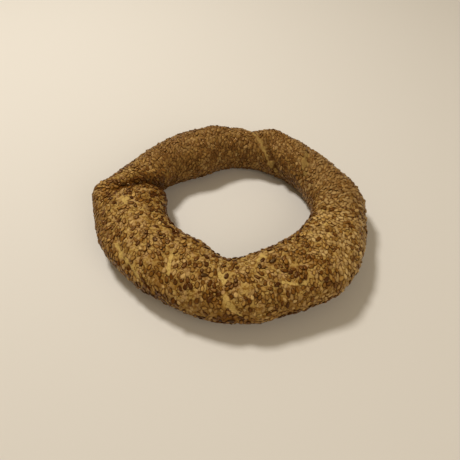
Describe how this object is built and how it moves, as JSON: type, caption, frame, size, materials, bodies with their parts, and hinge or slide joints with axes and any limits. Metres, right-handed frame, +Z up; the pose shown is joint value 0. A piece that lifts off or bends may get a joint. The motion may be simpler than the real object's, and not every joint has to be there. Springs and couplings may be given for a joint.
{
  "type": "simit",
  "caption": "Flat ring of twisted bread dough with an open middle, baked brown and coated all over with sesame seeds.",
  "frame": {"origin": "bottom centre of the bounding box, on the surface the ring lies on", "axes": "+Z up through the hole; +X along the ring's longest extent; the fattest part of the rope is at -Y"},
  "size_m": [0.178, 0.1556, 0.0333],
  "materials": {
    "crust": "baked bread crust, golden tan in the creases and browner on the crown, slightly glossy",
    "sesame": "toasted sesame seed, from pale tan to dark brown"
  },
  "bodies": {
    "root": {"simit": "crust"}
  },
  "joints": []
}
